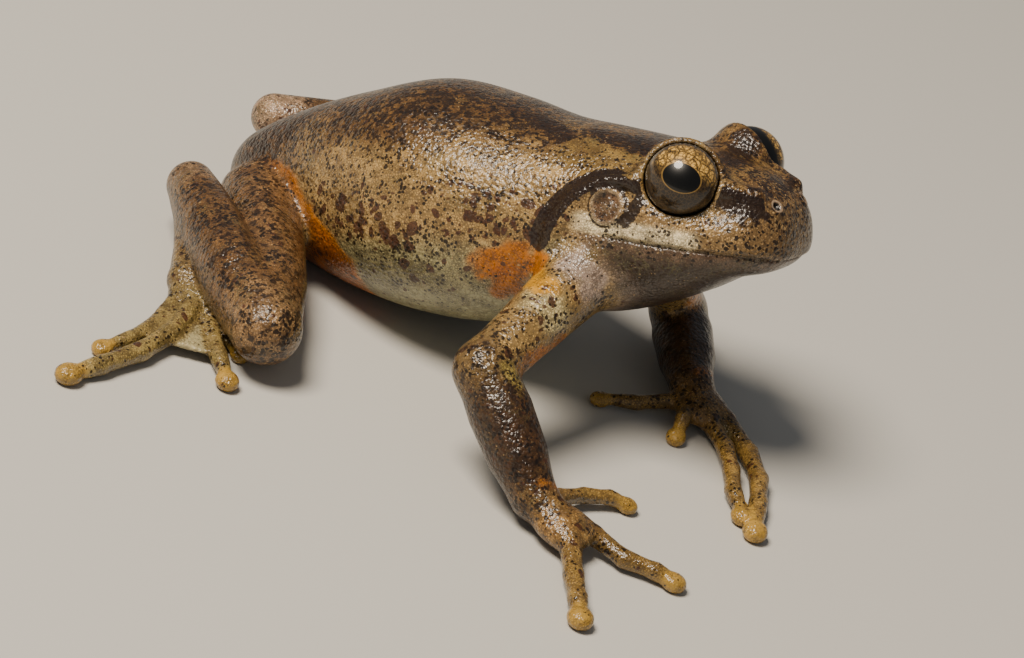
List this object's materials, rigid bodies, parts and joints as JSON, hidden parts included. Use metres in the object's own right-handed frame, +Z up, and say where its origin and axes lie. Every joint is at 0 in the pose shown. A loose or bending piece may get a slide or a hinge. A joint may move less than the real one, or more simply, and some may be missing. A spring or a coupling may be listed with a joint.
{
  "type": "heath frog model",
  "caption": "Life-size tree frog model sitting with its head raised, its hands planted in front and its hind legs folded at its sides.",
  "frame": {"origin": "middle of the frog's box, at floor level", "axes": "+X forward, the way the trunk points seen from above; +Y to the frog's left; +Z up from the floor"},
  "size_m": [0.0725, 0.089, 0.0314],
  "materials": {
    "skin": "moist, finely granular, mottled brown over tan",
    "digits": "moist, smooth, gold with fine dark specks",
    "eye": "wet, clear, gold over bronze with a dark pupil"
  },
  "bodies": {
    "root": {"head": "skin", "torso": "skin", "eye_right": "eye", "eye_left": "eye", "upper_arm_right": "skin", "forearm_right": "skin", "hand_right": "digits", "finger_1_right": "digits", "finger_2_right": "digits", "finger_3_right": "digits", "finger_4_right": "digits", "thigh_right": "skin", "shank_right": "skin", "tarsus_right": "skin", "foot_right": "digits", "toe_1_right": "digits", "toe_2_right": "digits", "toe_3_right": "digits", "toe_4_right": "digits", "toe_5_right": "digits", "upper_arm_left": "skin", "forearm_left": "skin", "hand_left": "digits", "finger_1_left": "digits", "finger_2_left": "digits", "finger_3_left": "digits", "finger_4_left": "digits", "thigh_left": "skin", "shank_left": "skin", "tarsus_left": "skin", "foot_left": "digits", "toe_1_left": "digits", "toe_2_left": "digits", "toe_3_left": "digits", "toe_4_left": "digits", "toe_5_left": "digits"}
  },
  "joints": []
}
